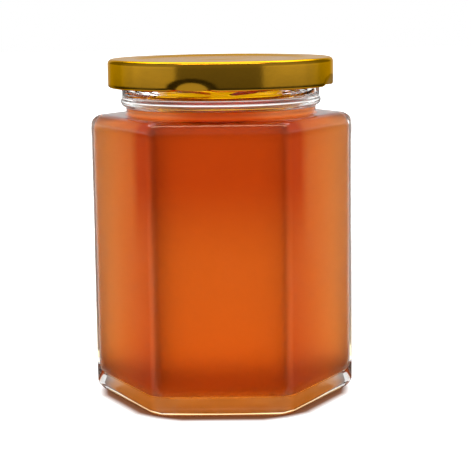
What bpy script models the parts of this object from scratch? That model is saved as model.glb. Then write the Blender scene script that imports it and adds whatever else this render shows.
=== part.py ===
"""A honey jar: a hexagonal glass jar with a round threaded neck, the honey in it, and a pressed lug lid.

Lengths are in metres, Z is up, and the origin is the middle of the base, where the jar stands. One flat
side of the jar faces the front, towards -Y, so that two of its upright corners lie on the X axis.
"""

import math

import bmesh
import bpy

# Glass body, a hexagonal prism with rounded upright corners
SIDE = 0.0388  # a side of the hexagon, out to its sharp corners
CORNER = 0.0025  # outer radius of the upright corners
WALL = 0.0019
INNER_CORNER = 0.0030
HEEL = 0.0030  # radius between the walls and the base
STANDING_RING = 0.0036  # width of the flat ring that the jar stands on
BASE_CORNER = 0.0090  # radius of that ring's corners, which are rounder than the walls'
PUSH_UP = 0.0030  # rise of the hollow underside at its middle
HOLLOW_SLOPE = 0.0050  # width of the slope from the standing ring up to half of that rise
FLOOR = 0.0048  # top of the glass floor, near the walls
FLOOR_DOME = 0.0018
FLOOR_FILLET = 0.0042
SHOULDER_Z = 0.0832
SHOULDER_ROUND = 0.0032
SHOULDER_CORNER = 0.0025  # radius of the corners of the flat top of the shoulder
SHOULDER_THICKNESS = 0.0023
INNER_SHOULDER_ROUND = 0.0030
INNER_FLARE = 0.0024  # rounding where the cavity narrows into the neck

# Neck, with its bead and four slanting threads
NECK_ROOT = 0.0010
NECK_RADIUS = 0.0278
NECK_BORE = 0.0268  # below the bead, where the glass is thin
MOUTH_BORE = 0.0246  # behind the threads, where it is thick
TAPER_FOOT_Z = 0.0880
TAPER_TOP_Z = 0.0920
TAPER_STEPS = 6
BEAD_FOOT_Z = 0.0855
BEAD_ROUND = 0.0016  # rounding under the bead
BEAD_RADIUS = 0.0293
BEAD_TOP_Z = 0.0879
FINISH_RADIUS = 0.0289
FINISH_Z = 0.0886  # bottom of the threaded wall
LIP_Z = 0.0980
LIP_ROUND = 0.0011
THREADS = 4
THREAD_DEPTH = 0.0012
THREAD_HALF_HEIGHT = 0.0010
THREAD_LOW_END = math.radians(7)  # seen from above, from the front towards the right
THREAD_TURN = math.radians(82)
THREAD_LOW_Z = 0.0911
THREAD_RISE = 0.0042
THREAD_ROWS = 14

# Honey, which stays clear of the glass
HONEY_LEVEL = 0.0852
CREEP = 0.0004  # how far it climbs the glass at its edge
GAP = 0.0003

# Lid, pressed from sheet metal, with its edge curled inwards
LID_RADIUS = 0.0330
LID_TOP = 0.0994
LID_BOTTOM = 0.0912
SHEET = 0.00045
LID_SHOULDER = 0.0013
RIM_WIDTH = 0.0056
PANEL_DROP = 0.0004
STEP_WIDTH = 0.0030
BUTTON_RADIUS = 0.0085
BUTTON_RISE = 0.0003
CURL = 0.00075  # radius of the curled edge
LUGS = 4
LUG_MIDDLE = math.radians(-12.8)
LUG_HALF_WIDTH = math.radians(13)
LUG_REACH = 0.0022  # how far in the curl is pressed at a lug
DENT_DEPTH = 0.0009  # how far in the skirt is pressed over a lug
LUG_LIFT = 0.0004
DENT_TOP = 0.0946  # how high the dent over each lug reaches up the skirt

# Divisions
FLAT_ANGLES = (0, 10, 20)  # degrees from the middle of a flat side
CORNER_STEPS = 4
ARC_STEPS = 4
LID_COLUMNS = 72

APOTHEM = SIDE * math.cos(math.radians(30))


def clear_scene():
    for thing in list(bpy.data.objects):
        bpy.data.objects.remove(thing)


def finish(name, colour, roughness, metallic=0.0, clear=0.0, ior=1.5):
    """A material with one Principled BSDF."""
    made = bpy.data.materials.new(name)
    made.use_nodes = True
    shader = made.node_tree.nodes["Principled BSDF"]
    shader.inputs["Base Color"].default_value = (*colour, 1)
    shader.inputs["Roughness"].default_value = roughness
    shader.inputs["Metallic"].default_value = metallic
    shader.inputs["Transmission Weight"].default_value = clear
    shader.inputs["IOR"].default_value = ior
    return made


def column_directions(apothem, corner):
    """Directions from the axis to one sixth of a rounded hexagon's outline, from the middle of a side.

    The upright corner gets its own points, because it takes only a few degrees of the turn."""
    half = apothem * math.tan(math.radians(30)) - corner * math.tan(math.radians(30))
    tangent = math.degrees(math.atan2(half, apothem))
    step = 2 * (30 - tangent) / CORNER_STEPS
    corner_angles = [tangent + step * i for i in range(CORNER_STEPS + 1)]
    after = [60 - angle for angle in reversed(FLAT_ANGLES[1:])]
    return [math.radians(angle) for angle in (*FLAT_ANGLES, *corner_angles, *after)]


def hexagon_radius(direction, apothem, corner):
    """Distance from the axis to a rounded hexagon's outline. direction 0 is the middle of a side."""
    sixth = math.radians(60)
    turn = abs((direction + sixth / 2) % sixth - sixth / 2)
    half = (apothem - corner) * math.tan(math.radians(30))
    if turn <= math.atan2(half, apothem):
        return apothem / math.cos(turn)
    centre = (apothem - corner) / math.cos(math.radians(30))
    off = math.radians(30) - turn
    across = centre * math.sin(off)
    return centre * math.cos(off) + math.sqrt(corner**2 - across**2)


def at(direction, radius, height):
    """A point at a direction that starts at the front and grows towards the right."""
    return (radius * math.sin(direction), -radius * math.cos(direction), height)


def hexagon_ring(apothem, corner, height):
    """Points around a rounded hexagon."""
    sector = column_directions(apothem, corner)
    directions = [turn * math.radians(60) + d for turn in range(6) for d in sector]
    return [at(d, hexagon_radius(d, apothem, corner), height) for d in directions]


def round_ring(radius, height):
    """As many points as hexagon_ring has, around a circle. radius may be a function of the direction."""
    count = 6 * len(column_directions(APOTHEM, CORNER))
    directions = [math.tau * i / count for i in range(count)]
    reach = radius if callable(radius) else lambda direction: radius
    return [at(d, reach(d), height) for d in directions]


def arc(centre, radius, start, end, steps):
    """(across, up) points along an arc of a section, angles in degrees from outwards towards up."""
    angles = [math.radians(start + (end - start) * i / steps) for i in range(steps + 1)]
    return [(centre[0] + radius * math.cos(a), centre[1] + radius * math.sin(a)) for a in angles]


def hexagon_arc(apothem, corner, inner_corner, centre_z, radius, start, end):
    """Hexagonal rings along a rounded edge, whose corners go to inner_corner as they move in from the wall."""
    rings = []
    for across, height in arc((apothem - radius, centre_z), radius, start, end, ARC_STEPS):
        inwards = (apothem - across) / radius
        rings.append(hexagon_ring(across, corner + (inner_corner - corner) * inwards, height))
    return rings


def loft(name, rings, first_middle, last_middle, material):
    """A closed solid through rings of equally many points, closed by a fan at each end."""
    mesh = bmesh.new()
    loops = []
    for points in rings:
        corners = [mesh.verts.new(point) for point in points]
        loops.append(corners)
    for lower, upper in zip(loops, loops[1:]):
        for i, corner in enumerate(lower):
            j = (i + 1) % len(lower)
            mesh.faces.new((corner, lower[j], upper[j], upper[i]))
    for loop, middle in ((loops[0], first_middle), (loops[-1], last_middle)):
        tip = mesh.verts.new(middle)
        for i, corner in enumerate(loop):
            mesh.faces.new((corner, loop[(i + 1) % len(loop)], tip))
    return solid(name, mesh, material)


def solid(name, mesh, material):
    """Turns a bmesh into an object with outward faces, smooth but for its sharp edges."""
    bmesh.ops.recalc_face_normals(mesh, faces=mesh.faces)
    data = bpy.data.meshes.new(name)
    mesh.to_mesh(data)
    mesh.free()
    data.materials.append(material)
    data.shade_smooth()
    data.set_sharp_from_angle(angle=math.radians(35))
    thing = bpy.data.objects.new(name, data)
    bpy.context.scene.collection.objects.link(thing)
    return thing


def thread_radius(height):
    """How far out the threaded wall reaches at each direction, at one height."""

    def reach(direction):
        best = 0.0
        for start in range(THREADS):
            from_low_end = (direction - THREAD_LOW_END - start * math.tau / THREADS) % math.tau
            along = from_low_end / THREAD_TURN
            if along > 1:
                continue
            middle = THREAD_LOW_Z + THREAD_RISE * along
            off = min(abs(height - middle) / THREAD_HALF_HEIGHT, 1)
            fade = min(along, 1 - along, 0.12) / 0.12
            best = max(best, math.sqrt(1 - off**2) * math.sin(fade * math.pi / 2))
        return FINISH_RADIUS + THREAD_DEPTH * best

    return reach


def cavity_rings(gap):
    """Rings up the inside of the glass, from the floor to the foot of the neck, gap clear of the glass."""
    apothem = APOTHEM - WALL - gap
    corner = INNER_CORNER - gap
    low = FLOOR_FILLET - gap
    rings = hexagon_arc(apothem, corner, corner - low, FLOOR + gap + low, low, 270, 360)
    under = SHOULDER_Z - SHOULDER_THICKNESS - gap
    high = INNER_SHOULDER_ROUND - gap
    rings += hexagon_arc(apothem, corner, corner - high, under - high, high, 0, 90)
    flare = INNER_FLARE + gap
    bend = arc((NECK_BORE + INNER_FLARE, under + flare), flare, 270, 180, ARC_STEPS)
    rings += [round_ring(radius, height) for radius, height in bend]
    return rings


def taper_rings():
    """Rings up the bore where the glass gets thicker behind the threads."""
    rings = []
    for i in range(TAPER_STEPS + 1):
        t = i / TAPER_STEPS
        eased = 0.5 * (t * t * (3 - 2 * t) + t)
        radius = NECK_BORE + (MOUTH_BORE - NECK_BORE) * eased
        rings.append(round_ring(radius, TAPER_FOOT_Z + (TAPER_TOP_Z - TAPER_FOOT_Z) * t))
    return rings


def neck_section():
    """(radius, height) points up the outside of the neck, from its root to the threaded wall."""
    root = arc((NECK_RADIUS + NECK_ROOT, SHOULDER_Z + NECK_ROOT), NECK_ROOT, 270, 180, 3)
    under_bead = arc((BEAD_RADIUS - BEAD_ROUND, BEAD_FOOT_Z + BEAD_ROUND), BEAD_ROUND, -75, 0, 4)
    return [*root, (NECK_RADIUS, BEAD_FOOT_Z - 0.2 * BEAD_ROUND), *under_bead, (BEAD_RADIUS, BEAD_TOP_Z)]


def build_glass(material):
    """The jar, from the middle of its underside over the outside to the lip and down inside."""
    ring_inside = HEEL + STANDING_RING
    rings = [
        round_ring(0.45 * APOTHEM, 0.9 * PUSH_UP),
        hexagon_ring(APOTHEM - ring_inside - HOLLOW_SLOPE, CORNER, 0.5 * PUSH_UP),
        hexagon_ring(APOTHEM - ring_inside, CORNER, 0),
    ]
    rings += hexagon_arc(APOTHEM, CORNER, BASE_CORNER, HEEL, HEEL, 270, 360)
    wall_top = SHOULDER_Z - SHOULDER_ROUND
    rings += hexagon_arc(APOTHEM, CORNER, SHOULDER_CORNER, wall_top, SHOULDER_ROUND, 0, 90)
    rings += [round_ring(radius, height) for radius, height in neck_section()]
    lip_foot = LIP_Z - LIP_ROUND
    for row in range(THREAD_ROWS + 1):
        height = FINISH_Z + (lip_foot - FINISH_Z) * row / THREAD_ROWS
        rings.append(round_ring(thread_radius(height), height))
    outer_lip = arc((FINISH_RADIUS - LIP_ROUND, lip_foot), LIP_ROUND, 30, 90, 2)
    inner_lip = arc((MOUTH_BORE + LIP_ROUND, lip_foot), LIP_ROUND, 90, 180, 3)
    rings += [round_ring(radius, height) for radius, height in (*outer_lip, *inner_lip)]
    rings += reversed([*cavity_rings(0), *taper_rings()])
    return loft("glass_jar", rings, (0, 0, PUSH_UP), (0, 0, FLOOR + FLOOR_DOME), material)


def build_honey(material):
    """The honey, which fills the cavity up to its level in the neck and creeps up the glass a little."""
    rings = cavity_rings(GAP)
    radius = NECK_BORE - GAP
    rings.append(round_ring(radius, HONEY_LEVEL + CREEP))
    rings.append(round_ring(radius - 0.4 * CREEP, HONEY_LEVEL + 0.4 * CREEP))
    rings.append(round_ring(radius - 1.6 * CREEP, HONEY_LEVEL))
    floor = FLOOR + FLOOR_DOME + GAP
    return loft("honey", rings, (0, 0, floor), (0, 0, HONEY_LEVEL), material)


def lid_section():
    """The lid's section in the XZ plane, from the middle of its top round the curl to its underside."""
    rim_inside = LID_RADIUS - LID_SHOULDER - RIM_WIDTH
    panel_edge = rim_inside - STEP_WIDTH
    panel = LID_TOP - PANEL_DROP
    top = [
        (0.6 * BUTTON_RADIUS, panel + BUTTON_RISE),
        (BUTTON_RADIUS, panel),
        (panel_edge, panel),
        (rim_inside, LID_TOP),
    ]
    shoulder_middle = (LID_RADIUS - LID_SHOULDER, LID_TOP - LID_SHOULDER)
    outside = arc(shoulder_middle, LID_SHOULDER, 90, 0, 3)
    curl_middle = (LID_RADIUS - CURL, LID_BOTTOM + CURL)
    skirt = [(LID_RADIUS, DENT_TOP), (LID_RADIUS, (DENT_TOP + LID_BOTTOM + CURL) / 2)]
    curl = arc(curl_middle, CURL, 0, -270, 9)
    skirt_inside = LID_RADIUS - SHEET
    inner = [(skirt_inside, DENT_TOP), *arc(shoulder_middle, LID_SHOULDER - SHEET, 0, 90, 3)]
    under = [
        (rim_inside + 0.5 * SHEET, LID_TOP - SHEET),
        (panel_edge + 0.5 * SHEET, panel - SHEET),
        (BUTTON_RADIUS, panel - SHEET),
        (0.6 * BUTTON_RADIUS, panel + BUTTON_RISE - SHEET),
    ]
    return [*top, *outside, *skirt, *curl, *inner, *under]


def press_lugs(point):
    """Moves a point of the lid's skirt and curl inwards where a lug is pressed."""
    radius = math.hypot(point[0], point[1])
    direction = math.atan2(point[0], -point[1])
    spacing = math.tau / LUGS
    off = (direction - LUG_MIDDLE + spacing / 2) % spacing - spacing / 2
    if abs(off) >= LUG_HALF_WIDTH or radius < LID_RADIUS - 3 * CURL or point[2] >= DENT_TOP:
        return point
    across = math.cos(off / LUG_HALF_WIDTH * math.pi / 2)
    dent_height = DENT_TOP - LID_BOTTOM - CURL
    top_here = LID_BOTTOM + CURL + dent_height * math.sqrt(1 - (off / LUG_HALF_WIDTH) ** 2)
    down = max(min((top_here - point[2]) / dent_height, 1), 0)
    round_curl = 0.0
    if point[2] < LID_BOTTOM + 2.01 * CURL:
        round_curl = min((LID_RADIUS - radius) / (2 * CURL), 1)
    reach = DENT_DEPTH + (LUG_REACH - DENT_DEPTH) * round_curl
    flattened = LUG_LIFT * across * (1 if point[2] < LID_BOTTOM + CURL else -1)
    return at(direction, radius - reach * across * down**1.5, point[2] + flattened * down)


def build_lid(material):
    """The lid, turned from its section and then pressed in at the four lugs."""
    columns = [LUG_MIDDLE + math.tau * i / LID_COLUMNS for i in range(LID_COLUMNS)]
    rings = []
    for radius, height in lid_section():
        rings.append([press_lugs(at(direction, radius, height)) for direction in columns])
    panel = LID_TOP - PANEL_DROP
    top = (0, 0, panel + BUTTON_RISE)
    underside = (0, 0, panel + BUTTON_RISE - SHEET)
    return loft("lid", rings, top, underside, material)


def main():
    clear_scene()
    glass = finish("clear soda-lime glass", (0.93, 0.97, 0.95), 0.03, clear=1.0, ior=1.52)
    honey = finish("amber honey", (0.80, 0.24, 0.02), 0.05, clear=0.6, ior=1.49)
    gold = finish("gold-lacquered tinplate", (0.66, 0.43, 0.08), 0.22, metallic=1.0)
    build_glass(glass)
    build_honey(honey)
    build_lid(gold)


main()
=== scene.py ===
"""The looks of a honey jar: hexagonal clear glass, the honey in it and a gold lug lid, on a pale floor.

Lengths are in metres, Z is up, and the jar stands on the floor with one flat side towards -Y.
"""

import math

import bpy
import numpy as np
from bpy.props import FloatProperty, FloatVectorProperty, IntProperty, PointerProperty
from mathutils import Matrix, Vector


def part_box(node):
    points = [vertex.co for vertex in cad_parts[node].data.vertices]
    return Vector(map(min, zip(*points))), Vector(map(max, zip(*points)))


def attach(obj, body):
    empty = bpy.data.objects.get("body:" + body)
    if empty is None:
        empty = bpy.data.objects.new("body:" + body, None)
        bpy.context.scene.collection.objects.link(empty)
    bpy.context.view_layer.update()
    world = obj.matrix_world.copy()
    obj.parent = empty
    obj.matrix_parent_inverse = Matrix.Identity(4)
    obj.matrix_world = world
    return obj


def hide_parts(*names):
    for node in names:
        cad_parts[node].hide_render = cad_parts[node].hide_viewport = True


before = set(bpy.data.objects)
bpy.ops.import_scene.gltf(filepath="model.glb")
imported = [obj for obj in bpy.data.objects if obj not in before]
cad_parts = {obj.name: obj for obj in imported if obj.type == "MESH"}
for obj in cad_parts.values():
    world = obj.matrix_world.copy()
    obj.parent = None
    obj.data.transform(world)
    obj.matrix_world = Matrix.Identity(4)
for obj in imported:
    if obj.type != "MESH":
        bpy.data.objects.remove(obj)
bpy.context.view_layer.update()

bl_info = {
    "name": "Hexagonal honey jar",
    "version": (1, 0, 0),
    "blender": (4, 5, 0),
    "location": "3D View > Sidebar > Honey jar",
    "description": "Builds a hexagonal glass jar of honey with a pressed gold lid, on a pale floor",
    "category": "Add Mesh",
}

SIXTH = math.radians(60)
GLASS_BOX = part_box("glass_jar")
HONEY_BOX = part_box("honey")
LID_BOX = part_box("lid")


def linear(code):
    """The linear RGB of an sRGB hex colour."""
    parts = [int(code[i : i + 2], 16) / 255 for i in (1, 3, 5)]
    return tuple(p / 12.92 if p <= 0.04045 else ((p + 0.055) / 1.055) ** 2.4 for p in parts)


def length(name, description, default):
    """A size that shows in the scene's own length unit."""
    return FloatProperty(
        name=name, description=description, default=default, min=0, precision=5, unit="LENGTH"
    )


def turn(name, description, degrees):
    """An angle, given in degrees."""
    return FloatProperty(name=name, description=description, default=math.radians(degrees), subtype="ANGLE")


def share(name, description, default):
    """A factor from 0 to 1."""
    return FloatProperty(name=name, description=description, default=default, min=0, max=1, subtype="FACTOR")


def colour(name, description, code):
    """A colour, given as sRGB hex."""
    return FloatVectorProperty(
        name=name, description=description, default=linear(code), size=3, min=0, max=1, subtype="COLOR"
    )


class GlassSizes(bpy.types.PropertyGroup):
    """The jar's sizes, outside and inside."""

    apothem: length("Half across flats", "From the axis to a flat side", GLASS_BOX[1].y)
    corner: length("Corner", "Outer radius of the upright corners", 0.0025)
    wall: length("Wall", "Thickness of the flat sides", 0.0019)
    inner_corner: length("Inner corner", "Inner radius of the upright corners", 0.0030)
    heel: length("Heel", "Radius between the walls and the base", 0.0030)
    standing_ring: length("Standing ring", "Width of the ring that the jar stands on", 0.0036)
    base_corner: length("Base corner", "Radius of the standing ring's corners", 0.0090)
    push_up: length("Push-up", "Rise of the hollow underside", 0.0030)
    hollow_slope: length("Hollow slope", "Width of the slope from the standing ring upwards", 0.0050)
    floor: length("Floor", "Height of the glass floor near the walls", 0.0048)
    floor_dome: length("Floor dome", "Further rise of the floor at its middle", 0.0018)
    floor_fillet: length("Floor fillet", "Inner radius between the floor and the walls", 0.0042)
    shoulder: length("Shoulder height", "Height of the flat top of the shoulder", 0.0832)
    shoulder_round: length("Shoulder round", "Radius from the walls to the shoulder", 0.0032)
    shoulder_corner: length("Shoulder corner", "Corner radius of the flat top", 0.0025)
    shoulder_glass: length("Shoulder glass", "Thickness of the glass at the shoulder", 0.0023)
    inner_round: length("Inner shoulder round", "Radius inside the shoulder", 0.0030)
    flare: length("Flare", "Rounding where the inside narrows into the neck", 0.0024)
    root: length("Neck root", "Rounding at the foot of the neck", 0.0010)
    neck: length("Neck", "Radius of the neck under the bead", 0.0278)
    bore: length("Bore", "Inner radius of the neck below its taper", 0.0268)
    mouth: length("Mouth", "Inner radius behind the threads", 0.0246)
    taper_foot: length("Taper foot", "Where the bore starts to narrow", 0.0880)
    taper_top: length("Taper top", "Where the bore stops narrowing", 0.0920)
    bead_foot: length("Bead foot", "Lowest point of the transfer bead", 0.0855)
    bead_round: length("Bead rounding", "Rounding under the bead", 0.0016)
    bead: length("Bead", "Radius of the bead", 0.0293)
    bead_top: length("Bead top", "Height of the bead's upper edge", 0.0879)
    bead_edge: length("Bead edge", "Rounding of the bead's upper edge", 0.0005)
    finish: length("Finish", "Radius of the threaded wall", 0.0289)
    finish_foot: length("Finish foot", "Bottom of the threaded wall", 0.0886)
    lip_round: length("Lip round", "Radius of the lip", 0.0011)


class ThreadSizes(bpy.types.PropertyGroup):
    """The slanting threads that the lid's lugs run under."""

    count: IntProperty(name="Threads", description="How many threads the neck has", default=4, min=1)
    depth: length("Depth", "How far a thread stands out", 0.0012)
    half_height: length("Half height", "Half of a thread's height", 0.0010)
    low_end: turn("Low end", "Where the first thread starts, from the front to the right", 7)
    sweep: turn("Sweep", "How far round each thread goes", 82)
    low: length("Low height", "Height of a thread's low end", 0.0911)
    rise: length("Rise", "How much a thread climbs", 0.0042)
    fade: share("Fade", "Share of a thread over which each end sinks in", 0.12)


class HoneySizes(bpy.types.PropertyGroup):
    """The honey's level and its edge."""

    level: length("Level", "Height of the honey's surface", HONEY_BOX[1].z - 0.0004)
    into_glass: length("Into the glass", "How far it reaches into the wall, so that no gap shows", 0.0003)
    creep: length("Creep", "How far the honey climbs the glass at its edge", 0.0004)


class LidSizes(bpy.types.PropertyGroup):
    """The pressed lid's sizes."""

    radius: length("Radius", "Outer radius of the skirt", LID_BOX[1].x)
    top: length("Top", "Height of the rim", LID_BOX[1].z)
    bottom: length("Bottom", "Height of the curled edge", 0.0912)
    sheet: length("Sheet", "Thickness of the tinplate", 0.00045)
    shoulder: length("Shoulder", "Radius between the rim and the skirt", 0.0013)
    rim: length("Rim", "Width of the raised rim", 0.0056)
    panel_drop: length("Panel drop", "How far the middle lies below the rim", 0.0004)
    step: length("Step", "Width of the step from the rim to the panel", 0.0030)
    button: length("Button", "Radius of the raised middle", 0.0085)
    button_rise: length("Button rise", "How far the middle bulges", 0.0003)
    curl: length("Curl", "Radius of the curled edge", 0.00075)
    lugs: IntProperty(name="Lugs", description="How many lugs are pressed in", default=4, min=1)
    lug_middle: turn("Lug middle", "Where the first lug is, from the front to the right", -12.8)
    lug_half: turn("Lug half width", "Half of a lug's width round the lid", 13)
    lug_reach: length("Lug reach", "How far a lug is pressed in", 0.0022)
    dent_depth: length("Dent depth", "How far the skirt is pressed in over a lug", 0.0009)
    lug_lift: length("Lug lift", "How much the curl is flattened at a lug", 0.0004)
    dent_top: length("Dent top", "How high the dent over a lug reaches", 0.0946)


class Finishes(bpy.types.PropertyGroup):
    """Colours of the glass, the honey, the lacquer and the floor, with the glow and the contact shadow that
    are painted on the floor.
    """

    glass: colour("Glass", "Tint of the glass", "#FBFDFC")
    honey: colour("Honey", "Colour that a thin layer of honey lets through", "#F1C55D")
    honey_depth: FloatProperty(name="Honey depth", description="Absorption per metre", default=89.0, min=0)
    lacquer: colour("Lacquer", "Gold lacquer outside", "#DBA026")
    lacquer_worn: colour("Lacquer, thinner", "Gold lacquer where it is thinner", "#DEA62E")
    inside: colour("Lacquer inside", "Gold lacquer inside the lid", "#DCA428")
    floor: colour("Floor", "Pale studio floor", "#F7F6F4")
    # The next two are painted light on the floor: an amber pool of light under the jar, and a dark painted
    # contact shadow round its foot.
    glow: colour("Glow", "Light that falls through the honey on the floor under it", "#FF8C20")
    painted_contact_shadow: colour("Contact", "Light on the floor close to the jar", "#341A0A")


class Studio(bpy.types.PropertyGroup):
    """The camera and the studio round the jar."""

    lens: FloatProperty(
        name="Lens", description="Focal length in mm on a 36 mm sensor", default=111.68, min=1
    )
    eye: FloatVectorProperty(
        name="Eye",
        description="Where the camera stands",
        default=(0.01055, -0.43015, 0.11594),
        size=3,
        unit="LENGTH",
    )
    pitch: turn("Pitch", "How far the camera looks down", 9.064)
    yaw: turn("Yaw", "How far the camera looks to the left", 0.900)
    roll: turn("Roll", "How far the camera leans", -0.733)
    tent: length("Tent radius", "Radius of the light tent", 0.60)
    window: turn("Dark window", "Half of the tent's dark opening at the front", 43)


class HONEYJAR_OT_glass(bpy.types.Operator):
    """Build the glass jar with its neck and threads"""

    bl_idname = "honeyjar.glass"
    bl_label = "Glass jar"

    def execute(self, context):
        build_glass(context.scene)
        return {"FINISHED"}


class HONEYJAR_OT_honey(bpy.types.Operator):
    """Pour the honey up to its level"""

    bl_idname = "honeyjar.honey"
    bl_label = "Honey"

    def execute(self, context):
        build_honey(context.scene)
        return {"FINISHED"}


class HONEYJAR_OT_lid(bpy.types.Operator):
    """Press the lid with its lugs"""

    bl_idname = "honeyjar.lid"
    bl_label = "Gold lid"

    def execute(self, context):
        build_lid(context.scene)
        return {"FINISHED"}


class HONEYJAR_OT_stage(bpy.types.Operator):
    """Set the floor, the light tent, the lights and the camera"""

    bl_idname = "honeyjar.stage"
    bl_label = "Stage"

    def execute(self, context):
        build_floor(context.scene)
        build_tent(context.scene)
        light_studio(context.scene)
        place_camera(context.scene)
        return {"FINISHED"}


class HONEYJAR_PT_panel(bpy.types.Panel):
    """The jar's pieces and their sizes"""

    bl_label = "Honey jar"
    bl_idname = "HONEYJAR_PT_panel"
    bl_space_type = "VIEW_3D"
    bl_region_type = "UI"
    bl_category = "Honey jar"

    def draw(self, context):
        layout = self.layout
        for operator in OPERATORS:
            layout.operator(operator.bl_idname)
        for name in GROUPS:
            box = layout.box()
            box.label(text=name.replace("_", " "))
            group = getattr(context.scene, name)
            for key in group.bl_rna.properties.keys():
                if key not in {"rna_type", "name"}:
                    box.prop(group, key)


GROUPS = {
    "jar_glass": GlassSizes,
    "jar_threads": ThreadSizes,
    "jar_honey": HoneySizes,
    "jar_lid": LidSizes,
    "jar_finishes": Finishes,
    "jar_studio": Studio,
}
OPERATORS = (HONEYJAR_OT_glass, HONEYJAR_OT_honey, HONEYJAR_OT_lid, HONEYJAR_OT_stage)

# How finely the pieces are divided, and the narrow strips that keep flat walls flat in shading
CORNER_STEPS = 12
FLAT_STEPS = 12
ARC_STEPS = 10
TAPER_STEPS = 14
THREAD_ROWS = 44
LID_COLUMNS = 288
SECTOR = CORNER_STEPS + FLAT_STEPS
EDGE_STRIP = 0.0003
SHARPEST_CORNER = 0.0004

GLASS_IOR = 1.52
HONEY_IOR = 1.49
HAZE = 0.40  # roughness of the honey against the walls
STIPPLE = 0.55  # roughness of the stippled underside
PAINTED_SHADE_TINT = (0.65, 0.24, 0.13)  # painted shade: linear colour that darkens and reddens the honey high up at the front
PAINTED_SHADE_HEIGHTS = (0.040, 0.068)  # heights where that painted shade starts and is full
# depths at the front where that painted shade starts and is full
PAINTED_SHADE_DEPTHS = (-0.0215, -0.0270)

UNDERSIDE_ROWS = 6  # rows of faces from the middle of the underside to the outer edge of its ring
FLOOR_STEPS = 5  # rows of the floor fillet that count as the floor
HOLLOW_CROWN = (0.45, 0.9)  # a ring of the hollow, as shares of the apothem and of the push-up
SLOPE_RISE = 0.5  # share of the push-up at the top of the hollow's slope
MENISCUS = ((1.0, 0.0), (0.55, 0.6), (0.3, 1.2), (0.12, 2.0), (0.0, 3.2))  # (up, in) in units of the creep
INSIDE_CURL = 8  # points of the curl that have the inside's lacquer
MIX_A, MIX_B, MIX_OUT = 6, 7, 2  # sockets of a Mix node that mixes colours

# The floor and the light on it, with a painted amber pool of light and a painted contact shadow round the jar
FLOOR_HALF = 3.0
FLOOR_DROP = 0.0002  # how far it lies under the jar, so that the two surfaces don't coincide
FLOOR_LIGHT = 3.6
RAMP_REACH = 0.1  # where the ramp of the light on the floor ends
ROUNDED_CORNERS = 0.95  # how round that light's outline is, where 1 is a circle through the flat sides
# painted shadow: the floor's colour in the ring round the jar's foot
PAINTED_FLOOR_SHADOW = "#8A6650"
TABLE_LIGHT = (0.24, 0.24, 0.24)

# The tent: how bright each part is, and the heights and directions where parts meet
TENT_LIGHTS = {
    "dark opening": 0.20,
    "bright tent wall": 0.75,
    "tent wall above": 0.35,
    "tent wall at the side": 0.64,
    "tent wall above, at the side": 0.28,
    "tent wall behind": 0.50,
    "tent wall above, behind": 0.20,
    "back wall": 0.62,
    "dim table edge": 0.03,
    "table edge behind": 0.30,
    "bright table": 0.50,
    "side panel": 5.0,
    "overhead softbox": 3.0,
}
TENT_FOOT, TENT_SPLIT, TENT_TOP = 0.056, 0.12, 0.9
TABLE_EDGE, TABLE_FOOT = -0.20, -0.9
PANEL_HEIGHT = 0.003
PANEL_CORNERS = ((105, 0.10), (130, 0.10), (130, 0.80), (105, 0.80))  # (direction in degrees, distance)


def at(directions, radius, height):
    """Points at directions that start at the front and grow towards the right."""
    return np.column_stack(
        (radius * np.sin(directions), -radius * np.cos(directions), np.broadcast_to(height, directions.shape))
    )


def even_directions():
    """As many directions as a hexagonal ring has, evenly spread, from the middle of a corner."""
    return np.arange(6 * SECTOR) * (math.tau / (6 * SECTOR)) - SIXTH / 2


def hexagon_ring(apothem, corner, height):
    """A ring round a hexagon with rounded corners, from the middle of a corner."""
    corner = max(corner, SHARPEST_CORNER)
    slope = math.tan(SIXTH / 2)
    half_flat = (apothem - corner) * slope
    edge = math.atan2(half_flat, apothem)
    half = CORNER_STEPS // 2
    inner = half_flat - EDGE_STRIP
    across = np.concatenate(([-half_flat], np.linspace(-inner, inner, FLAT_STEPS - 1), [half_flat]))
    flat = np.arctan(across / apothem)
    left = -SIXTH / 2 + (SIXTH / 2 - edge) * np.arange(half) / half
    right = edge + (SIXTH / 2 - edge) * np.arange(1, half) / half
    sector = np.concatenate((left, flat, right))
    off = SIXTH / 2 - np.abs(sector)
    centre = (apothem - corner) / math.cos(SIXTH / 2)
    across = np.minimum(centre * np.sin(off), corner)
    rounded = centre * np.cos(off) + np.sqrt(corner**2 - across**2)
    radius = np.where(np.abs(sector) <= edge + 1e-9, apothem / np.cos(sector), rounded)
    directions = np.concatenate([sector + SIXTH * i for i in range(6)])
    return at(directions, np.tile(radius, 6), height)


def round_ring(radius, height):
    """A ring with as many points as a hexagonal one. radius is a number or one for each direction."""
    return at(even_directions(), radius, height)


def arc(centre, radius, start, end, steps=ARC_STEPS):
    """(across, up) points along an arc of a section, angles in degrees from outwards towards up."""
    angles = np.radians(np.linspace(start, end, steps + 1))
    return [(centre[0] + radius * math.cos(a), centre[1] + radius * math.sin(a)) for a in angles]


def hexagon_arc(apothem, corner, inner_corner, centre_height, radius, start, end):
    """Hexagonal rings along a rounded edge, whose corners go to inner_corner as they move in."""
    rings = []
    for across, height in arc((apothem - radius, centre_height), radius, start, end):
        inwards = (apothem - across) / radius
        rings.append(hexagon_ring(across, corner + (inner_corner - corner) * inwards, height))
    return rings


def flat_wall(apothem, corner, low, high):
    """Rings near both ends of an upright wall, which keep its shading flat."""
    heights = (low + EDGE_STRIP, (low + high) / 2, high - EDGE_STRIP)
    return [hexagon_ring(apothem, corner, height) for height in heights]


def between(first, last, count):
    """Rings that lead from one ring to another, without either."""
    return [first + (last - first) * (i / (count + 1)) for i in range(1, count + 1)]


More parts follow.
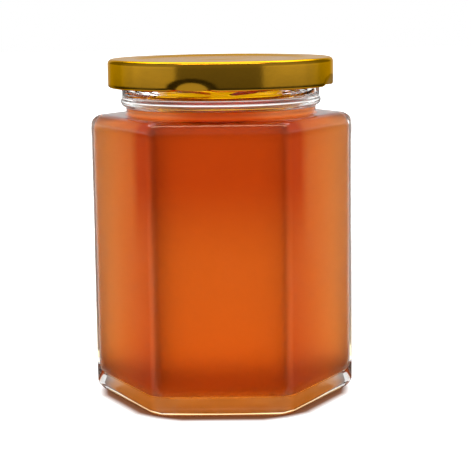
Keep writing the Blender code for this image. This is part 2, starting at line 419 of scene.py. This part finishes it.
def loft(name, rings, bottom, top, materials, starts=()):
    """A closed mesh through the rings, shut by a fan at each end. The next material starts at each ring
    in starts."""
    count = len(rings[0])
    points = np.concatenate([*rings, [bottom], [top]])
    here = np.arange(count)
    after = (here + 1) % count
    faces = []
    for i in range(len(rings) - 1):
        low, high = i * count, (i + 1) * count
        faces.extend(np.column_stack((low + here, low + after, high + after, high + here)).tolist())
    end = (len(rings) - 1) * count
    faces.extend(np.column_stack((after, here, np.full(count, len(points) - 2))).tolist())
    faces.extend(np.column_stack((end + here, end + after, np.full(count, len(points) - 1))).tolist())
    mesh = bpy.data.meshes.new(name)
    mesh.from_pydata(points.tolist(), [], faces)
    for material in materials:
        mesh.materials.append(material)
    rows = np.arange(len(faces)) // count
    slots = sum((rows >= start).astype(np.int32) for start in starts) + np.zeros(len(faces), np.int32)
    slots[-2 * count : -count] = 0
    mesh.polygons.foreach_set("material_index", slots)
    mesh.shade_smooth()
    mesh.set_sharp_from_angle(angle=math.radians(50))
    mesh.update()
    thing = bpy.data.objects.new(name, mesh)
    bpy.context.scene.collection.objects.link(thing)
    return thing


def settle(piece, node):
    """Puts a piece on the jar's body, in the place of its CAD node."""
    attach(piece, "root")
    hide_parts(node)


def thread_radius(glass, threads, height):
    """How far out the threaded wall reaches at each direction, at one height."""
    directions = even_directions()
    best = np.zeros(len(directions))
    for i in range(threads.count):
        along = ((directions - threads.low_end - i * math.tau / threads.count) % math.tau) / threads.sweep
        off = np.minimum(np.abs(height - threads.low - threads.rise * along) / threads.half_height, 1)
        fade = np.clip(np.minimum(along, 1 - along) / threads.fade, 0, 1)
        best = np.maximum(best, np.sqrt(1 - off**2) * np.sin(fade * math.pi / 2))
    return glass.finish + threads.depth * best


def cavity_rings(glass, inside):
    """Rings up the inside of the glass to the foot of the neck, moved into the glass by inside."""
    apothem = glass.apothem - glass.wall + inside
    corner = glass.inner_corner + inside
    low = glass.floor_fillet + inside
    floor = glass.floor - inside
    rings = hexagon_arc(apothem, corner, corner - low, floor + low, low, 270, 360)
    under = glass.shoulder - glass.shoulder_glass + inside
    high = glass.inner_round + inside
    rings += flat_wall(apothem, corner, floor + low, under - high)
    rings += hexagon_arc(apothem, corner, corner - high, under - high, high, 0, 90)
    flare = glass.flare - inside
    bend = [round_ring(*p) for p in arc((glass.bore + glass.flare, under + flare), flare, 270, 180)]
    return [*rings, *between(rings[-1], bend[0], 2), *bend]


def neck_section(glass):
    """(radius, height) points up the outside of the neck, from its root to the bead's upper edge."""
    root = arc((glass.neck + glass.root, glass.shoulder + glass.root), glass.root, 270, 180)
    middle = (glass.bead - glass.bead_round, glass.bead_foot + glass.bead_round)
    under = arc(middle, glass.bead_round, -75, 0)
    edge = glass.bead_edge
    over = arc((glass.bead - edge, glass.bead_top - edge), edge, 0, 60, 5)
    return [*root, (glass.neck, glass.bead_foot - 0.2 * glass.bead_round), *under, *over]


def build_glass(scene):
    """The jar, from the middle of its underside over the outside to the lip and down inside."""
    glass, threads = scene.jar_glass, scene.jar_threads
    ring_inside = glass.heel + glass.standing_ring
    slope_top = glass.apothem - ring_inside - glass.hollow_slope
    crown = round_ring(HOLLOW_CROWN[0] * glass.apothem, HOLLOW_CROWN[1] * glass.push_up)
    slope = hexagon_ring(slope_top, glass.corner, SLOPE_RISE * glass.push_up)
    standing = hexagon_ring(glass.apothem - ring_inside, glass.corner, 0)
    rings = [crown, *between(crown, slope, 3), slope, standing]
    rings += hexagon_arc(glass.apothem, glass.corner, glass.base_corner, glass.heel, glass.heel, 270, 360)
    wall_top = glass.shoulder - glass.shoulder_round
    rings += flat_wall(glass.apothem, glass.corner, glass.heel, wall_top)
    rings += hexagon_arc(
        glass.apothem, glass.corner, glass.shoulder_corner, wall_top, glass.shoulder_round, 0, 90
    )
    neck = [round_ring(*p) for p in neck_section(glass)]
    rings += [*between(rings[-1], neck[0], 2), *neck]
    lip = GLASS_BOX[1].z
    lip_foot = lip - glass.lip_round
    for height in np.linspace(glass.finish_foot, lip_foot, THREAD_ROWS + 1):
        rings.append(round_ring(thread_radius(glass, threads, height), height))
    outer_lip = arc((glass.finish - glass.lip_round, lip_foot), glass.lip_round, 15, 90, 6)
    inner_lip = arc((glass.mouth + glass.lip_round, lip_foot), glass.lip_round, 90, 180, 6)
    rings += [round_ring(*p) for p in (*outer_lip, *inner_lip)]
    taper = []
    for t in np.linspace(0, 1, TAPER_STEPS + 1):
        eased = 0.5 * (t * t * (3 - 2 * t) + t)
        radius = glass.bore + (glass.mouth - glass.bore) * eased
        taper.append(round_ring(radius, glass.taper_foot + (glass.taper_top - glass.taper_foot) * t))
    inside = [*cavity_rings(glass, 0), *taper]
    rings += reversed(inside)
    level = scene.jar_honey.level
    dry = len(rings) - sum(ring[0][2] < level for ring in inside)
    finishes = scene.jar_finishes
    materials = [
        soda_lime_glass("stippled soda-lime glass", finishes, GLASS_IOR, 1.0, STIPPLE),
        soda_lime_glass("clear soda-lime glass", finishes, GLASS_IOR, 1.0),
        soda_lime_glass("soda-lime glass wetted by honey", finishes, GLASS_IOR, 0.0),
        soda_lime_glass("soda-lime glass under honey", finishes, GLASS_IOR / HONEY_IOR, 1.0),
    ]
    floor_middle = (0, 0, glass.floor + glass.floor_dome)
    starts = (UNDERSIDE_ROWS, dry, len(rings) - 1 - FLOOR_STEPS)
    jar = loft("jar", rings, (0, 0, glass.push_up), floor_middle, materials, starts)
    settle(jar, "glass_jar")


def build_honey(scene):
    """The honey, which reaches just into the glass and climbs it a little at its edge."""
    glass, honey = scene.jar_glass, scene.jar_honey
    rings = cavity_rings(glass, honey.into_glass)
    radius = glass.bore + honey.into_glass
    rings = [ring for ring in rings if ring[0][2] < honey.level - honey.creep]
    for height, inwards in MENISCUS:
        rings.append(round_ring(radius - inwards * honey.creep, honey.level + height * honey.creep))
    finishes = scene.jar_finishes
    materials = [
        amber_honey("amber honey on the glass floor", finishes, 1.0, 0.0, 1.0),
        amber_honey("amber honey against the glass", finishes, HONEY_IOR, HAZE, 0.0),
        amber_honey("amber honey's free surface", finishes, HONEY_IOR, 0.0, 1.0),
    ]
    bottom = (0, 0, glass.floor + glass.floor_dome - honey.into_glass)
    starts = (FLOOR_STEPS, len(rings) - len(MENISCUS))
    fill = loft("honey_fill", rings, bottom, (0, 0, honey.level), materials, starts)
    settle(fill, "honey")


def lid_section(lid):
    """The lid's section from its middle round the curl to its underside, and how many points are outside."""
    rim_inside = lid.radius - lid.shoulder - lid.rim
    panel_edge = rim_inside - lid.step
    panel = lid.top - lid.panel_drop
    button = [(lid.button * t, panel + lid.button_rise * (1 - t * t)) for t in (0.25, 0.5, 0.75, 0.9, 1.0)]
    step = []
    for t in np.linspace(0, 1, 9):
        step.append((panel_edge + lid.step * t, panel + lid.panel_drop * t * t * (3 - 2 * t)))
    shoulder_middle = (lid.radius - lid.shoulder, lid.top - lid.shoulder)
    outside = arc(shoulder_middle, lid.shoulder, 90, 0)
    low = lid.bottom + lid.curl
    skirt = [(lid.radius, h) for h in np.linspace(outside[-1][1], low, 14)[1:-1]]
    curl = arc((lid.radius - lid.curl, low), lid.curl, 0, -270, 26)
    outer = [*button, *step, *outside, *skirt, *curl]
    inner_skirt = lid.radius - lid.sheet
    inner = [(inner_skirt, h) for h in np.linspace(low + lid.curl, shoulder_middle[1], 8)[1:-1]]
    inner += arc(shoulder_middle, lid.shoulder - lid.sheet, 0, 90)
    under = []
    for radius, height in reversed([*button, *step]):
        outwards = 0.5 * lid.sheet if radius > lid.button else 0
        under.append((radius + outwards, height - lid.sheet))
    return [*outer, *inner, *under], len(outer)


def press_lugs(points, lid):
    """Moves the points of the skirt and the curl inwards where a lug is pressed."""
    radius = np.hypot(points[:, 0], points[:, 1])
    directions = np.arctan2(points[:, 0], -points[:, 1])
    spacing = math.tau / lid.lugs
    off = (directions - lid.lug_middle + spacing / 2) % spacing - spacing / 2
    low = lid.bottom + lid.curl
    heights = points[:, 2]
    on_skirt = (radius > lid.radius - 3 * lid.curl) & (heights < lid.dent_top)
    pressed = (np.abs(off) < lid.lug_half) & on_skirt
    aside = np.clip(off / lid.lug_half, -1, 1)
    across = np.where(pressed, np.cos(aside * math.pi / 2), 0)
    top_here = low + (lid.dent_top - low) * np.sqrt(1 - aside**2)
    down = np.clip((top_here - heights) / (lid.dent_top - low), 0, 1)
    flattened = np.where(heights < low, 1, -1) * lid.lug_lift * across * down
    round_curl = np.clip((lid.radius - radius) / (2 * lid.curl), 0, 1)
    round_curl = np.where(heights > low + 1.01 * lid.curl, 0, round_curl)
    reach = lid.dent_depth + (lid.lug_reach - lid.dent_depth) * round_curl
    return at(directions, radius - reach * across * down**1.5, heights + flattened)


def build_lid(scene):
    """The lid, turned from its section and pressed in at the lugs."""
    lid = scene.jar_lid
    section, outside = lid_section(lid)
    directions = lid.lug_middle + np.arange(LID_COLUMNS) * math.tau / LID_COLUMNS
    rings = [press_lugs(at(directions, radius, height), lid) for radius, height in section]
    top = (0, 0, lid.top - lid.panel_drop + lid.button_rise)
    underside = (0, 0, top[2] - lid.sheet)
    materials = [gold_lacquered_tinplate(scene.jar_finishes), bright_lacquer_inside(scene.jar_finishes)]
    shell = loft("lid_shell", rings, top, underside, materials, (outside - INSIDE_CURL,))
    settle(shell, "lid")


def add_node(tree, kind, settings=None, links=None):
    """Adds a node. settings are its properties and input values, and links its inputs' sources."""
    node = tree.nodes.new(kind)
    for key, value in (settings or {}).items():
        if isinstance(key, str) and hasattr(node, key):
            setattr(node, key, value)
        else:
            node.inputs[key].default_value = value
    for key, source in (links or {}).items():
        tree.links.new(source, node.inputs[key])
    return node


def new_material(name):
    """A material with an empty tree and its output."""
    made = bpy.data.materials.new(name)
    made.use_nodes = True
    made.node_tree.nodes.clear()
    output = add_node(made.node_tree, "ShaderNodeOutputMaterial")
    return made, made.node_tree, output


def per_metre(millimetres):
    """A noise scale whose features are this many millimetres wide."""
    return 1000 / millimetres


def soda_lime_glass(name, finishes, ior, mirror, roughness=0.0):
    """Soda-lime glass, pressed and blown in a mould and fire-finished: clear and glossy, with the faint
    ripple that the mould leaves, which bends what shows through it a little. The stippled underside is
    rough and spreads the light. Where honey wets it, mirror is 0, because glass reflects next to nothing."""
    made, tree, output = new_material(name)
    place = add_node(tree, "ShaderNodeTexCoord").outputs["Object"]
    grain = {"Scale": per_metre(9), "Detail": 1.0, "Roughness": 0.4}
    ripple = add_node(tree, "ShaderNodeTexNoise", grain, {"Vector": place})
    bump = add_node(
        tree, "ShaderNodeBump", {"Strength": 0.05, "Distance": 0.0004}, {"Height": ripple.outputs["Fac"]}
    )
    shader = add_node(
        tree,
        "ShaderNodeBsdfPrincipled",
        {
            "Base Color": (*finishes.glass, 1),
            "Roughness": roughness,
            "IOR": ior,
            "Transmission Weight": 1.0,
            "Specular Tint": (mirror, mirror, mirror, 1),
        },
        {"Normal": bump.outputs["Normal"]},
    )
    tree.links.new(shader.outputs["BSDF"], output.inputs["Surface"])
    return made


def amber_honey(name, finishes, ior, haze, mirror):
    """Clear honey, poured: an amber syrup whose colour deepens with its depth, with a glossy, calm surface.
    Where it lies against the glass, mirror is 0. High up at the front its colour is painted darker and
    redder, as painted shade."""
    made, tree, output = new_material(name)
    place = add_node(tree, "ShaderNodeTexCoord").outputs["Object"]
    swell = add_node(
        tree, "ShaderNodeTexNoise", {"Scale": per_metre(12), "Detail": 0.0}, {"Vector": place}
    )
    bump = add_node(
        tree, "ShaderNodeBump", {"Strength": 0.03, "Distance": 0.0004}, {"Height": swell.outputs["Fac"]}
    )
    # painted shade: towards the top and the front, the honey's colour is mixed towards a darker, redder tint
    axes = add_node(tree, "ShaderNodeSeparateXYZ", {}, {"Vector": place}).outputs
    rise = add_node(
        tree,
        "ShaderNodeMapRange",
        {"interpolation_type": "SMOOTHSTEP", "From Min": PAINTED_SHADE_HEIGHTS[0], "From Max": PAINTED_SHADE_HEIGHTS[1]},
        {"Value": axes["Z"]},
    )
    near = add_node(
        tree,
        "ShaderNodeMapRange",
        {"interpolation_type": "SMOOTHSTEP", "From Min": PAINTED_SHADE_DEPTHS[0], "From Max": PAINTED_SHADE_DEPTHS[1]},
        {"Value": axes["Y"]},
    )
    both = add_node(
        tree, "ShaderNodeMath", {"operation": "MULTIPLY"}, {0: rise.outputs[0], 1: near.outputs[0]}
    )
    # the painted shade, mixed into the honey's colour
    tint = add_node(
        tree,
        "ShaderNodeMix",
        {"data_type": "RGBA", "blend_type": "MIX", MIX_A: (1, 1, 1, 1), MIX_B: (*PAINTED_SHADE_TINT, 1)},
        {"Factor": both.outputs["Value"]},
    )
    shader = add_node(
        tree,
        "ShaderNodeBsdfPrincipled",
        {
            "Roughness": haze,
            "IOR": ior,
            "Transmission Weight": 1.0,
            "Specular Tint": (mirror, mirror, mirror, 1),
        },
        {"Normal": bump.outputs["Normal"], "Base Color": tint.outputs[MIX_OUT]},
    )
    depth = add_node(
        tree,
        "ShaderNodeVolumeAbsorption",
        {"Color": (*finishes.honey, 1), "Density": finishes.honey_depth},
    )
    tree.links.new(shader.outputs["BSDF"], output.inputs["Surface"])
    tree.links.new(depth.outputs["Volume"], output.inputs["Volume"])
    return made


def gold_lacquered_tinplate(finishes):
    """Tinplate with a transparent gold lacquer, stoved on and then pressed: a deep warm mirror with the
    soft unevenness of the lacquer, which makes its reflections a little wavy."""
    made, tree, output = new_material("gold-lacquered tinplate")
    place = add_node(tree, "ShaderNodeTexCoord").outputs["Object"]
    clouds = add_node(
        tree, "ShaderNodeTexNoise", {"Scale": per_metre(11), "Detail": 3.0}, {"Vector": place}
    )
    tint = add_node(
        tree,
        "ShaderNodeMix",
        {
            "data_type": "RGBA",
            "blend_type": "MIX",
            MIX_A: (*finishes.lacquer, 1),
            MIX_B: (*finishes.lacquer_worn, 1),
        },
        {"Factor": clouds.outputs["Fac"]},
    )
    peel = add_node(
        tree, "ShaderNodeTexNoise", {"Scale": per_metre(1.2), "Detail": 2.0}, {"Vector": place}
    )
    gloss = add_node(
        tree,
        "ShaderNodeMapRange",
        {"From Min": 0.3, "From Max": 0.7, "To Min": 0.13, "To Max": 0.19},
        {"Value": clouds.outputs["Fac"]},
    )
    bump = add_node(
        tree, "ShaderNodeBump", {"Strength": 0.04, "Distance": 0.0001}, {"Height": peel.outputs["Fac"]}
    )
    shader = add_node(
        tree,
        "ShaderNodeBsdfPrincipled",
        {"Metallic": 1.0, "Specular Tint": (*linear("#FFDF90"), 1)},
        {
            "Base Color": tint.outputs[MIX_OUT],
            "Roughness": gloss.outputs["Result"],
            "Normal": bump.outputs["Normal"],
        },
    )
    tree.links.new(shader.outputs["BSDF"], output.inputs["Surface"])
    return made


def bright_lacquer_inside(finishes):
    """The same tinplate inside the lid, where the lacquer is thin and nothing has rubbed it: almost a
    mirror."""
    made, tree, output = new_material("bright gold lacquer inside")
    place = add_node(tree, "ShaderNodeTexCoord").outputs["Object"]
    clouds = add_node(
        tree, "ShaderNodeTexNoise", {"Scale": per_metre(8), "Detail": 2.0}, {"Vector": place}
    )
    gloss = add_node(
        tree,
        "ShaderNodeMapRange",
        {"From Min": 0.3, "From Max": 0.7, "To Min": 0.04, "To Max": 0.07},
        {"Value": clouds.outputs["Fac"]},
    )
    shader = add_node(
        tree,
        "ShaderNodeBsdfPrincipled",
        {"Base Color": (*finishes.inside, 1), "Metallic": 1.0, "Specular Tint": (*linear("#FFE8A0"), 1)},
        {"Roughness": gloss.outputs["Result"]},
    )
    tree.links.new(shader.outputs["BSDF"], output.inputs["Surface"])
    return made


def stage_object(name, points, faces, material):
    """A stage object from points and faces."""
    mesh = bpy.data.meshes.new(name)
    mesh.from_pydata(points, [], faces)
    mesh.materials.append(material)
    mesh.update()
    thing = bpy.data.objects.new(name, mesh)
    bpy.context.scene.collection.objects.link(thing)
    return thing


def flat_card(name, half_width, first, last, material):
    """A card with two edges along X, each at a (depth, height)."""
    corners = ((-1, first), (1, first), (1, last), (-1, last))
    points = [(side * half_width, depth, height) for side, (depth, height) in corners]
    return stage_object(name, points, [(0, 1, 2, 3)], material)


def distance_from_axis(tree, place):
    """How far a point is from the jar's axis, measured as for a hexagon with rounded corners."""
    reach = add_node(tree, "ShaderNodeVectorMath", {"operation": "LENGTH"}, {0: place}).outputs["Value"]
    away = add_node(tree, "ShaderNodeMath", {"operation": "MULTIPLY", 1: ROUNDED_CORNERS}, {0: reach})
    for direction in (math.radians(90), math.radians(30), math.radians(-30)):
        across = (math.cos(direction), math.sin(direction), 0)
        dot = add_node(tree, "ShaderNodeVectorMath", {"operation": "DOT_PRODUCT", 1: across}, {0: place})
        off = add_node(tree, "ShaderNodeMath", {"operation": "ABSOLUTE"}, {0: dot.outputs["Value"]})
        sources = {0: away.outputs[0], 1: off.outputs[0]}
        away = add_node(tree, "ShaderNodeMath", {"operation": "MAXIMUM"}, sources)
    return away.outputs[0]


def build_floor(scene):
    """A pale acrylic table, lit a little from below, as for packshots. Under the jar an amber pool of light
    is painted into its glow, standing in for the light that falls through the honey, and a narrow painted
    contact shadow darkens the floor round the jar's foot."""
    finishes = scene.jar_finishes
    made, tree, output = new_material("opal acrylic table with painted glow and shadow")
    place = add_node(tree, "ShaderNodeTexCoord").outputs["Object"]
    away = distance_from_axis(tree, place)
    outwards = add_node(tree, "ShaderNodeMapRange", {"From Max": RAMP_REACH}, {"Value": away})
    lit = add_node(tree, "ShaderNodeValToRGB", {}, {"Fac": outwards.outputs["Result"]})
    # painted light and shade on the floor: an amber glow under the jar, then a dark ring as painted contact
    # shadow round its foot, then the even floor light; where alpha is 0 the floor's colour also turns to the
    # painted shadow colour
    stops = (
        (0.25, finishes.glow, 1),
        (0.30, finishes.painted_contact_shadow, 0),
        (0.335, finishes.painted_contact_shadow, 0),
        (0.365, TABLE_LIGHT, 1),
    )
    elements = lit.color_ramp.elements
    elements.remove(elements[1])
    for i, (position, shade, pale) in enumerate(stops):
        stop = elements.new(position) if i else elements[0]
        stop.position = position
        stop.color = (*shade, pale)
    # the floor's colour, with the painted shadow colour in the ring round the jar's foot
    ground = add_node(
        tree,
        "ShaderNodeMix",
        {
            "data_type": "RGBA",
            "blend_type": "MIX",
            MIX_A: (*linear(PAINTED_FLOOR_SHADOW), 1),
            MIX_B: (*finishes.floor, 1),
        },
        {"Factor": lit.outputs["Alpha"]},
    )
    shader = add_node(
        tree,
        "ShaderNodeBsdfPrincipled",
        {"Roughness": 0.6, "Emission Strength": FLOOR_LIGHT},
        {"Base Color": ground.outputs[MIX_OUT], "Emission Color": lit.outputs["Color"]},
    )
    tree.links.new(shader.outputs["BSDF"], output.inputs["Surface"])
    floor = flat_card("floor", FLOOR_HALF, (-FLOOR_HALF, -FLOOR_DROP), (FLOOR_HALF, -FLOOR_DROP), made)
    floor.visible_glossy = False


def glow(name, strength, shade="#FFFFFF"):
    """A card that gives even light."""
    made, tree, output = new_material(name)
    light = add_node(tree, "ShaderNodeEmission", {"Color": (*linear(shade), 1), "Strength": strength})
    tree.links.new(light.outputs["Emission"], output.inputs["Surface"])
    return made


def wall_strip(name, radius, start, end, low, high, material):
    """An upright strip of the tent, between two directions in degrees from the front to the right."""
    steps = max(2, round(abs(end - start) / 4))
    points, faces = [], []
    for i, direction in enumerate(np.radians(np.linspace(start, end, steps + 1))):
        for height in (low, high):
            points.append((radius * math.sin(direction), -radius * math.cos(direction), height))
        if i:
            faces.append((2 * i - 2, 2 * i, 2 * i + 1, 2 * i - 1))
    return reflected_only(stage_object(name, points, faces, material))


def reflected_only(card):
    """A card that shows in reflections and gives no light of its own on the rest."""
    card.visible_camera = False
    card.visible_diffuse = False
    card.visible_transmission = False
    card.visible_volume_scatter = False
    card.visible_shadow = False
    return card


def seen_through(card):
    """A light that shows only through the glass and the honey."""
    reflected_only(card)
    card.visible_glossy = False
    card.visible_transmission = True
    return card


def build_tent(scene):
    """The light tent as the gloss sees it: bright walls that get dimmer upwards and towards the back, a dark
    opening at the front, a dark table edge and softboxes above, and a dim brown card under the jar as a
    painted shadow in the heel's reflections."""
    radius, window = scene.jar_studio.tent, math.degrees(scene.jar_studio.window)
    lights = {name: glow(name, strength) for name, strength in TENT_LIGHTS.items()}
    foot, split, top = TENT_FOOT, TENT_SPLIT, TENT_TOP
    wall_strip("tent_opening", radius, -window, window, foot, top, lights["dark opening"])
    for side, name in ((1, "right"), (-1, "left")):
        for part, start, end, low, high, light in (
            ("near", window, 95, foot, split, "bright tent wall"),
            ("near_above", window, 95, split, top, "tent wall above"),
            ("middle", 95, 115, foot, split, "tent wall at the side"),
            ("middle_above", 95, 115, split, top, "tent wall above, at the side"),
            ("far", 115, 150, foot, split, "tent wall behind"),
            ("far_above", 115, 150, split, top, "tent wall above, behind"),
            ("back", 150, 180, foot, top, "back wall"),
            ("edge", 0, 135, TABLE_EDGE, foot, "dim table edge"),
            ("far_edge", 135, 180, TABLE_EDGE, foot, "table edge behind"),
        ):
            wall_strip(f"tent_{part}_{name}", radius, side * start, side * end, low, high, lights[light])
        points = []
        for degrees, distance in PANEL_CORNERS:
            direction = side * math.radians(degrees)
            points.append((distance * math.sin(direction), -distance * math.cos(direction), PANEL_HEIGHT))
        panel = stage_object(f"side_panel_{name}", points, [(0, 1, 2, 3)], lights["side panel"])
        seen_through(panel)
    behind = glow("back panel", 2.0, "#FFF0C8")
    seen_through(flat_card("back_panel", 0.08, (0.036, 0.002), (0.075, 0.002), behind))
    wall_strip("tent_table", radius, -180, 180, TABLE_FOOT, TABLE_EDGE, lights["bright table"])
    front = glow("front softbox", 6.0, "#FFDFB8")
    # painted shadow: a dim brown card under the jar, seen only in reflections, for the shaded floor that the
    # heel reflects
    under = glow("painted shadow under the jar", 0.10, "#8A4A1C")
    for name, half_width, first, last, light in (
        ("softbox", 0.35, (0.06, 0.55), (0.5, 0.45), lights["overhead softbox"]),
        ("front_softbox", 0.24, (-0.18, 0.52), (-0.08, 0.52), front),
        ("painted_shadow_under_jar", 0.042, (-0.038, -0.001), (0.038, -0.001), under),
        ("dark_ceiling", 0.6, (-0.6, 0.9), (0.06, 0.56), lights["tent wall above, behind"]),
    ):
        reflected_only(flat_card(name, half_width, first, last, light))


def light_studio(scene):
    """White all round, and the colours as they are."""
    world = bpy.data.worlds.new("white studio")
    world.use_nodes = True
    world.node_tree.nodes.clear()
    output = add_node(world.node_tree, "ShaderNodeOutputWorld")
    white = add_node(world.node_tree, "ShaderNodeBackground", {"Color": (1, 1, 1, 1), "Strength": 1})
    world.node_tree.links.new(white.outputs["Background"], output.inputs["Surface"])
    scene.world = world
    scene.view_settings.view_transform = "Standard"
    scene.cycles.max_bounces = 32
    scene.cycles.transmission_bounces = 28
    scene.cycles.glossy_bounces = 8


def place_camera(scene):
    """The camera at the photograph's angle."""
    studio = scene.jar_studio
    data = bpy.data.cameras.new("camera")
    data.lens = studio.lens
    data.sensor_width = 36
    camera = bpy.data.objects.new("camera", data)
    level = math.radians(90)
    turned = Matrix.Rotation(studio.yaw, 4, "Z") @ Matrix.Rotation(level - studio.pitch, 4, "X")
    camera.matrix_world = Matrix.Translation(studio.eye) @ turned @ Matrix.Rotation(studio.roll, 4, "Z")
    scene.collection.objects.link(camera)
    scene.camera = camera


def register():
    for made in (*GROUPS.values(), *OPERATORS, HONEYJAR_PT_panel):
        bpy.utils.register_class(made)
    for name, group in GROUPS.items():
        setattr(bpy.types.Scene, name, PointerProperty(type=group))


def unregister():
    for name in GROUPS:
        delattr(bpy.types.Scene, name)
    for made in reversed((*GROUPS.values(), *OPERATORS, HONEYJAR_PT_panel)):
        bpy.utils.unregister_class(made)


def main():
    register()
    bpy.ops.honeyjar.glass()
    bpy.ops.honeyjar.honey()
    bpy.ops.honeyjar.lid()
    bpy.ops.honeyjar.stage()


if __name__ == "__main__":
    main()
